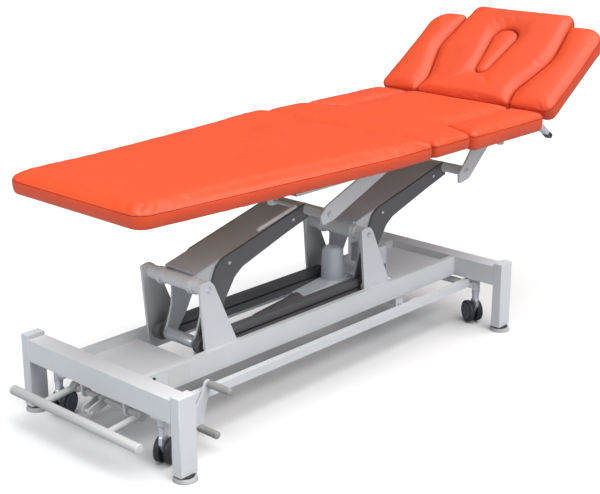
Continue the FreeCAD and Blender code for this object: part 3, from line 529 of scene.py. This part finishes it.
def blow_up(obj, held, bottom, reach):
    """Cloth under pressure, held at the seam and along the board, with capped movement."""
    rest = np.array([v.co for v in obj.data.vertices])
    group = obj.vertex_groups.new(name="held")
    fixed = [v.index for v in obj.data.vertices if v.index in held or v.co.z < bottom + 0.0005]
    group.add(fixed, 1.0, "REPLACE")
    cloth = obj.modifiers.new("cloth", "CLOTH")
    settings = cloth.settings
    settings.quality = 5
    settings.mass = 0.25
    settings.tension_stiffness = 12
    settings.compression_stiffness = 12
    settings.shear_stiffness = 6
    settings.bending_stiffness = 2.5
    settings.use_pressure = True
    settings.uniform_pressure_force = CLOTH_PRESSURE
    settings.shrink_min = CLOTH_SHRINK
    settings.vertex_group_mass = "held"
    settings.effector_weights.gravity = 0.0
    cloth.collision_settings.use_collision = False
    cloth.point_cache.frame_start = 1
    cloth.point_cache.frame_end = CLOTH_FRAMES
    scene = bpy.context.scene
    for number in range(1, CLOTH_FRAMES + 1):
        scene.frame_set(number)
    evaluated = obj.evaluated_get(bpy.context.evaluated_depsgraph_get())
    moved = np.array([v.co for v in evaluated.data.vertices])
    shift = moved - rest
    size = np.linalg.norm(shift, axis=1)
    limit = np.minimum(1.0, reach / np.maximum(size, 1e-9))
    obj.modifiers.remove(cloth)
    obj.vertex_groups.clear()
    obj.data.vertices.foreach_set("co", (rest + shift * limit[:, None]).astype(np.float32).ravel())
    obj.data.update()
    scene.frame_set(1)


def apply_modifiers(obj):
    evaluated = obj.evaluated_get(bpy.context.evaluated_depsgraph_get())
    mesh = bpy.data.meshes.new_from_object(evaluated)
    obj.modifiers.clear()
    old = obj.data
    obj.data = mesh
    bpy.data.meshes.remove(old)


def stitch_seams(name, loops, matrix, body):
    """Sewn seam: a fine cord in the valley between band and top panel, coloured as the vinyl darkened to about a
    third, which is painted shade of the seam valley.
    """
    curve = bpy.data.curves.new(name, "CURVE")
    curve.dimensions = "3D"
    curve.bevel_depth = SEAM_CORD_RADIUS
    curve.bevel_resolution = 2
    for loop in loops:
        spline = curve.splines.new("POLY")
        spline.points.add(len(loop) - 1)
        for point, co in zip(spline.points, loop):
            point.co = (*(matrix @ co), 1.0)
        spline.use_cyclic_u = True
    # the cord carries the painted-shade colour of the seam valley
    curve.materials.append(SEAM_SHADE_THREAD)
    obj = bpy.data.objects.new(name, curve)
    bpy.context.scene.collection.objects.link(obj)
    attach(obj, body)
    return obj


def flap_hinge(name, joint, body, half, reach):
    """Moving barrel of a flap hinge and its leaf, under the flap's vinyl."""
    along = Vector(joint["axis"]).normalized()
    outward = Vector((0, math.copysign(1, joint["pos_m"][1]), 0))
    up = along.cross(outward)
    up *= math.copysign(1, up.z)
    centre = Vector(joint["pos_m"])
    profile = [(0.0028, -half), (0.0046, -half), (0.0055, 0.0009 - half), (0.0055, half - 0.0009),
               (0.0046, half), (0.0028, half)]
    parts = [placed(lathe(profile, 24), at(centre, along))]
    corners = []
    for r, h in ((0.001, 0.0022), (reach, 0.0022), (reach, 0.0062), (0.001, 0.0062)):
        corners.append(outward * r + up * h)
    verts = [centre + along * side + corner for side in (-half, half) for corner in corners]
    faces = [(0, 1, 2, 3), (7, 6, 5, 4)]
    faces += [(i, i + 4, (i + 1) % 4 + 4, (i + 1) % 4) for i in range(4)]
    parts.append((verts, faces))
    obj = make(name, *merged(parts), LOOK["dark_coat"], body, "dark_coat", smooth=False)
    face_outward(obj)


def lever_bearings(level):
    """Two small lugs under the left wing that carry its lock lever."""
    joint = Vector(JOINTS["wing_lever_pull"]["pos_m"])
    centre = level @ joint
    parts = []
    for y in (-0.252, -0.284):
        rows = [(-0.008, -0.008), (0.008, -0.008), (0.030, 0.0100), (0.030, 0.0125), (-0.006, 0.0125),
                (-0.008, 0.0100)]
        count = len(rows)
        verts = [(centre.x + x, y + depth, centre.z + z) for depth in (0.0, 0.010) for x, z in rows]
        faces = [tuple(range(count)), tuple(reversed(range(count, 2 * count)))]
        faces += [(i, (i + 1) % count, (i + 1) % count + count, i + count) for i in range(count)]
        parts.append((verts, faces))
    obj = make("lever_bearings", *merged(parts), LOOK["dark_coat"], "wing_left", "dark_coat", False,
               level.inverted())
    face_outward(obj)


def upholster():
    level = levelled()
    pad_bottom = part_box("leg_pad")[0].z
    cushion("leg_cushion", "leg_pad", "leg_section", pad_bottom,
            seam=0.6950, puff=0.0185, crown=0.0030, reach=0.005)
    cushion("seat_cushion", "seat_pad", "top_frame", pad_bottom,
            seam=0.6920, puff=0.0170, crown=0.002, reach=0.004)
    for side in ("left", "right"):
        cushion("side_cushion_" + side, "side_pad_" + side, "side_" + side, FLAP_BOTTOM,
                seam=0.6890, puff=0.0165, crown=0.003, reach=0.004, spacing=0.007, round_reach=0.030)
        flap_hinge("side_hinge_" + side, JOINTS["side_" + side + "_drop"], "side_" + side,
                   half=0.098, reach=0.034)
        cushion("wing_cushion_" + side, "wing_pad_" + side, "wing_" + side, FLAP_BOTTOM,
                seam=0.6900, puff=0.0165, crown=0.003, reach=0.003, spacing=0.007, matrix=level,
                round_reach=0.030)
        flap_hinge("wing_hinge_" + side, JOINTS["wing_" + side + "_drop"], "wing_" + side,
                   half=0.078, reach=0.042)
    cushion("head_cushion", "head_pad", "head_section", pad_bottom,
            seam=0.6910, puff=0.0160, crown=0.003, reach=0.003, spacing=0.007, matrix=level,
            round_reach=0.022)
    cushion("plug_cushion", "face_plug", "face_plug", pad_bottom,
            seam=0.6920, puff=0.0110, crown=0.002, reach=0.002, spacing=0.005, matrix=level,
            round_reach=0.017)
    lever_bearings(level)


# ---------------------------------------------------------------- fittings
def fittings():
    pivots = [Vector(JOINTS[n]["pos_m"]) for n in ("lift", "head_arm_follow")]
    cranks = [Vector(JOINTS[n]["pos_m"]) for n in ("link_level", "actuator_level")]
    uppers = [Vector(JOINTS["top_level"]["pos_m"])]
    uppers.append(uppers[0] + pivots[1] - pivots[0])
    sides = (-1, 1)
    arms = ("foot_arm", "head_arm")

    shaft_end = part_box("lower_pivot_shafts")[1].y
    screws = [placed(socket_screw(0.0068, 0.0014), at((p.x, s * shaft_end, p.z), (0, s, 0)))
              for p in pivots for s in sides]
    make("pivot_screws", *merged(screws), LOOK["steel"], "base", "steel")
    bolt_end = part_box("upper_pivot_bolts")[1].y
    screws = [placed(socket_screw(0.0070, 0.0030), at((p.x, s * bolt_end, p.z), (0, s, 0)))
              for p in uppers for s in sides]
    make("bracket_screws", *merged(screws), LOOK["steel"], "top_frame", "steel")

    for arm, pivot, crank in zip(arms, pivots, cranks):
        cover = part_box(arm + "_side_covers")[1].y
        spots = [(0.127, 0.034), (0.385, 0.101)]
        parts = [placed(socket_screw(0.0050, 0.0028), at((pivot.x + dx, s * cover, pivot.z + dz), (0, s, 0)))
                 for dx, dz in spots for s in sides]
        make(arm + "_cover_screws", *merged(parts), LOOK["steel"], arm, "dark_coat")
        pin_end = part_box(arm + "_cross_tube")[1].y
        parts = [placed(socket_screw(0.0072, 0.0030), at((crank.x, s * pin_end, crank.z), (0, s, 0)))
                 for s in sides]
        make(arm + "_pin_screws", *merged(parts), LOOK["steel"], arm, "steel")

    foot_rings()
    end_caps()
    castor_details()
    grips()
    plate_on_rail()
    lever_cap()
    rail_plug()
    handle_bearing()


def foot_rings():
    """Black locknuts and washers between the posts and the feet."""
    parts = []
    for end in ("foot", "head"):
        for side in ("left", "right"):
            a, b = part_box("post_" + end + "_" + side)
            centre = ((a.x + b.x) / 2, (a.y + b.y) / 2, 0.0)
            profile = [(0.0068, 0.0112), (0.0235, 0.0112), (0.0250, 0.0122), (0.0250, 0.0155),
                       (0.0235, 0.0168), (0.0068, 0.0168)]
            parts.append(placed(lathe(profile, 40), at(centre, (0, 0, 1))))
    make("foot_rings", *merged(parts), BLACK_PLASTIC, "base", "foot_plastic")


def end_caps():
    low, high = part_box("foot_bar")
    radius = FOOT_BAR_RADIUS
    x = low.x + radius
    parts = []
    for s, y in ((-1, low.y), (1, high.y)):
        profile = [(radius * 1.01, -0.006), (radius * 1.03, -0.005), (radius * 1.03, -0.0004),
                   (radius * 0.97, 0.0010), (radius * 0.86, 0.0014), (radius * 0.1, 0.0014)]
        parts.append(placed(lathe(profile, 40), at((x, y, FOOT_BAR_Z), (0, s, 0))))
    make("foot_bar_caps", *merged(parts), PALE_PLASTIC, "foot_bar", "white_coat")


def castor_details():
    for name in ("foot_left", "foot_right", "head_left", "head_right"):
        roll = JOINTS["roll_" + name]
        centre = Vector(roll["pos_m"])
        axis = Vector(roll["axis"]).normalized()
        parts = []
        for s in (-1, 1):
            profile = [(0.0270, -0.0004), (0.0270, 0.0008), (0.0240, 0.0016), (0.0225, 0.0004),
                       (0.0150, 0.0002), (0.0120, 0.0014), (0.0060, 0.0018), (0.0010, 0.0018)]
            parts.append(placed(lathe(profile, 40), at(centre + axis * s * 0.0236, axis * s)))
        make("castor_hubs_" + name, *merged(parts), HUB_PLASTIC, "wheels_" + name, "wheel")
        swivel = Vector(JOINTS["swivel_" + name]["pos_m"])
        profile = [(0.0075, 0.1068), (0.0122, 0.1068), (0.0130, 0.1076), (0.0130, 0.1116),
                   (0.0122, 0.1128), (0.0085, 0.1130)]
        collar = placed(lathe(profile, 32), at((swivel.x, swivel.y, 0), (0, 0, 1)))
        make("castor_collar_" + name, *collar, LOOK["steel"], "fork_" + name, "steel")


def grips():
    """Ribbed rubber sleeves over the two pedal grips."""
    joint = Vector(JOINTS["castor_pedal"]["pos_m"])
    base_x = joint.x + 0.5986
    parts = []
    for x, z, outer in ((-0.514, 0.172, -0.290), (-0.551, 0.058, -0.278)):
        profile = []
        start = -0.209
        count = 14
        step = (start - outer - 0.006) / count
        for i in range(count):
            h = i * step
            profile += [(0.0098, h), (0.0106, h + step * 0.25), (0.0106, h + step * 0.6),
                        (0.0098, h + step * 0.85)]
        end = count * step
        profile += [(0.0106, end), (0.0104, end + 0.004), (0.0070, end + 0.0065)]
        parts.append(placed(lathe(profile, 28), at((base_x + x, start, z), (0, -1, 0))))
    make("pedal_sleeves", *merged(parts), GRIP_RUBBER, "castor_lever", "wheel")


def plate_on_rail():
    """Blank type plate on the outside of the left rail."""
    rail_low, rail_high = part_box("rail_left")
    pivot = JOINTS["lift"]["pos_m"][0]
    x0, x1 = pivot - 0.169, pivot - 0.091
    z0, z1 = rail_low.z + 0.006, rail_high.z - 0.006
    radius = 0.004
    loop = []
    for cx, cz, turn in ((x1 - radius, z1 - radius, 0), (x0 + radius, z1 - radius, 90),
                         (x0 + radius, z0 + radius, 180), (x1 - radius, z0 + radius, 270)):
        for k in range(6):
            angle = math.radians(turn + k * 18)
            loop.append((cx + radius * math.cos(angle), cz + radius * math.sin(angle)))
    count = len(loop)
    verts = [(x, rail_low.y + 0.0001, z) for x, z in loop] + [(x, rail_low.y - 0.0008, z) for x, z in loop]
    faces = [(i, (i + 1) % count, count + (i + 1) % count, count + i) for i in range(count)]
    faces += [tuple(reversed(range(count))), tuple(count + i for i in range(count))]
    obj = make("blank_plate", verts, faces, PLATE, "base", "white_coat", smooth=False)
    face_outward(obj)


def lever_cap():
    """Black end cap on the paddle of the wing's lock lever."""
    level = levelled()
    centre = level @ Vector(JOINTS["wing_lever_pull"]["pos_m"])
    radius = 0.003
    rings = [(-0.0485, 0.0002), (-0.0485, 0.0010), (-0.0722, 0.0010), (-0.0730, 0.0002)]
    loop = []
    for cx, cy, turn in ((1, 1, 0), (-1, 1, 90), (-1, -1, 180), (1, -1, 270)):
        for k in range(5):
            angle = math.radians(turn + k * 22.5)
            loop.append((cx * 0.004, cy * 0.009, math.cos(angle), math.sin(angle)))
    count = len(loop)
    verts = [(x + dx * (radius + grow), y + dy * (radius + grow), z)
             for z, grow in rings for x, y, dx, dy in loop]
    faces = []
    for row in range(len(rings) - 1):
        for i in range(count):
            j = (i + 1) % count
            low, high = row * count, (row + 1) * count
            faces.append((low + i, low + j, high + j, high + i))
    faces += [tuple(range(count)), tuple(reversed(range((len(rings) - 1) * count, len(rings) * count)))]
    place = level.inverted() @ Matrix.Translation((centre.x, LEVER_TOP_Y, centre.z))
    place = place @ Matrix.Rotation(math.radians(-LEVER_LEAN), 4, "Y")
    obj = make("lever_cap", verts, faces, BLACK_PLASTIC, "wing_lever", "steel", False, place)
    face_outward(obj)


def handle_bearing():
    """Housing over the bearing of the release handle under the leg board."""
    x, _, z = JOINTS["leg_handle_turn"]["pos_m"]
    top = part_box("leg_board")[0].z + 0.0550
    middle = -0.142
    rows = [(0.0100, 0.0075, z - 0.0105), (0.0112, 0.0087, z - 0.0093), (0.0112, 0.0087, top - 0.001),
            (0.0104, 0.0083, top)]
    corners = ((1, 1), (-1, 1), (-1, -1), (1, -1))
    verts = [(x + sx * w, middle + sy * d, h) for w, d, h in rows for sx, sy in corners]
    faces = [(3, 2, 1, 0)]
    for row in range(len(rows) - 1):
        for i in range(4):
            j = (i + 1) % 4
            faces.append((row * 4 + i, row * 4 + j, row * 4 + 4 + j, row * 4 + 4 + i))
    faces.append((12, 13, 14, 15))
    make("handle_bearing", verts, faces, LOOK["powder_coat"], "leg_section", "powder_coat",
         smooth=False)


def rail_plug():
    """Small black plug in the outside of the left rail, close to the foot beam."""
    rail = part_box("rail_left")
    place = at((rail[0].x + 0.024, rail[0].y, rail[1].z - 0.015), (0, -1, 0))
    profile = [(0.0052, -0.0010), (0.0056, 0.0004), (0.0052, 0.0016), (0.0030, 0.0022), (0.0004, 0.0022)]
    make("rail_plug", *placed(lathe(profile, 24), place), BLACK_PLASTIC, "base", "foot_plastic")


# ---------------------------------------------------------------- stage
def area_light(name, place, target, size, power, colour=(1, 1, 1)):
    light = bpy.data.lights.new(name, "AREA")
    light.shape = "RECTANGLE"
    light.size, light.size_y = size
    light.energy = power
    light.color = colour
    obj = bpy.data.objects.new(name, light)
    obj.location = place
    obj.rotation_euler = (Vector(target) - Vector(place)).to_track_quat("-Z", "Y").to_euler()
    bpy.context.scene.collection.objects.link(obj)


def floor_material():
    """Plain white studio floor: bright to the camera, dimmer in the light it throws back."""
    material, tree, shader = start_material("studio_floor", 0.85)
    stops = [(0.3, (0.925, 0.925, 0.925)), (0.7, (0.935, 0.935, 0.935))]
    tree.links.new(ramp(tree, noise(tree, coords(tree), 1.5, 2.0), stops), shader.inputs["Base Color"])
    shader.inputs["Specular IOR Level"].default_value = 0.1
    dim = tree.nodes.new("ShaderNodeBsdfDiffuse")
    dim.inputs["Color"].default_value = (0.42, 0.43, 0.45, 1)
    path = tree.nodes.new("ShaderNodeLightPath")
    mix = tree.nodes.new("ShaderNodeMixShader")
    tree.links.new(path.outputs["Is Camera Ray"], mix.inputs["Fac"])
    tree.links.new(dim.outputs["BSDF"], mix.inputs[1])
    tree.links.new(shader.outputs["BSDF"], mix.inputs[2])
    tree.links.new(mix.outputs["Shader"], tree.nodes["Material Output"].inputs["Surface"])
    return material


def studio():
    size = 14.0
    mesh = bpy.data.meshes.new("floor")
    corners = [(-size, -size, 0), (size, -size, 0), (size, size, 0), (-size, size, 0)]
    mesh.from_pydata(corners, [], [(0, 1, 2, 3)])
    floor = bpy.data.objects.new("floor", mesh)
    bpy.context.scene.collection.objects.link(floor)
    floor.data.materials.append(floor_material())
    world = bpy.data.worlds.new("studio")
    world.use_nodes = True
    nodes = world.node_tree.nodes
    links = world.node_tree.links
    soft = nodes["Background"]
    soft.inputs["Color"].default_value = (0.93, 0.97, 1.0, 1)
    soft.inputs["Strength"].default_value = 0.15
    seen = nodes.new("ShaderNodeBackground")
    seen.inputs["Color"].default_value = (1.0, 1.0, 1.0, 1)
    path = nodes.new("ShaderNodeLightPath")
    mix = nodes.new("ShaderNodeMixShader")
    links.new(path.outputs["Is Camera Ray"], mix.inputs["Fac"])
    links.new(soft.outputs["Background"], mix.inputs[1])
    links.new(seen.outputs["Background"], mix.inputs[2])
    links.new(mix.outputs["Shader"], nodes["World Output"].inputs["Surface"])
    bpy.context.scene.world = world
    sun = bpy.data.lights.new("ceiling", "SUN")
    sun.energy = 3.75
    sun.angle = math.radians(75)
    lamp = bpy.data.objects.new("ceiling", sun)
    lamp.rotation_euler = (math.radians(14), math.radians(4), 0)
    bpy.context.scene.collection.objects.link(lamp)
    area_light("key", (-0.4, -3.6, 2.6), (0, 0, 0.5), (2.4, 1.6), 40)
    area_light("side", (-4.0, 0.2, 2.4), (0, 0, 0.4), (2.0, 1.6), 42, (0.93, 0.97, 1.0))
    bpy.context.scene.view_settings.view_transform = "Standard"


def camera():
    data = bpy.data.cameras.new("camera")
    data.sensor_width = 36.0
    data.lens = 76.7
    data.shift_x = 0.0032
    data.shift_y = 0.0049
    obj = bpy.data.objects.new("camera", data)
    bpy.context.scene.collection.objects.link(obj)
    turn, rise = math.radians(-47.23), math.radians(18.14)
    back = Vector((math.sin(turn) * math.cos(rise), -math.cos(turn) * math.cos(rise), math.sin(rise)))
    obj.location = (-2.8376, -2.4761, 1.5536)
    obj.rotation_mode = "QUATERNION"
    obj.rotation_quaternion = (-back).to_track_quat("-Z", "Y")
    bpy.context.scene.camera = obj


dress_cad()
upholster()
fittings()
studio()
camera()
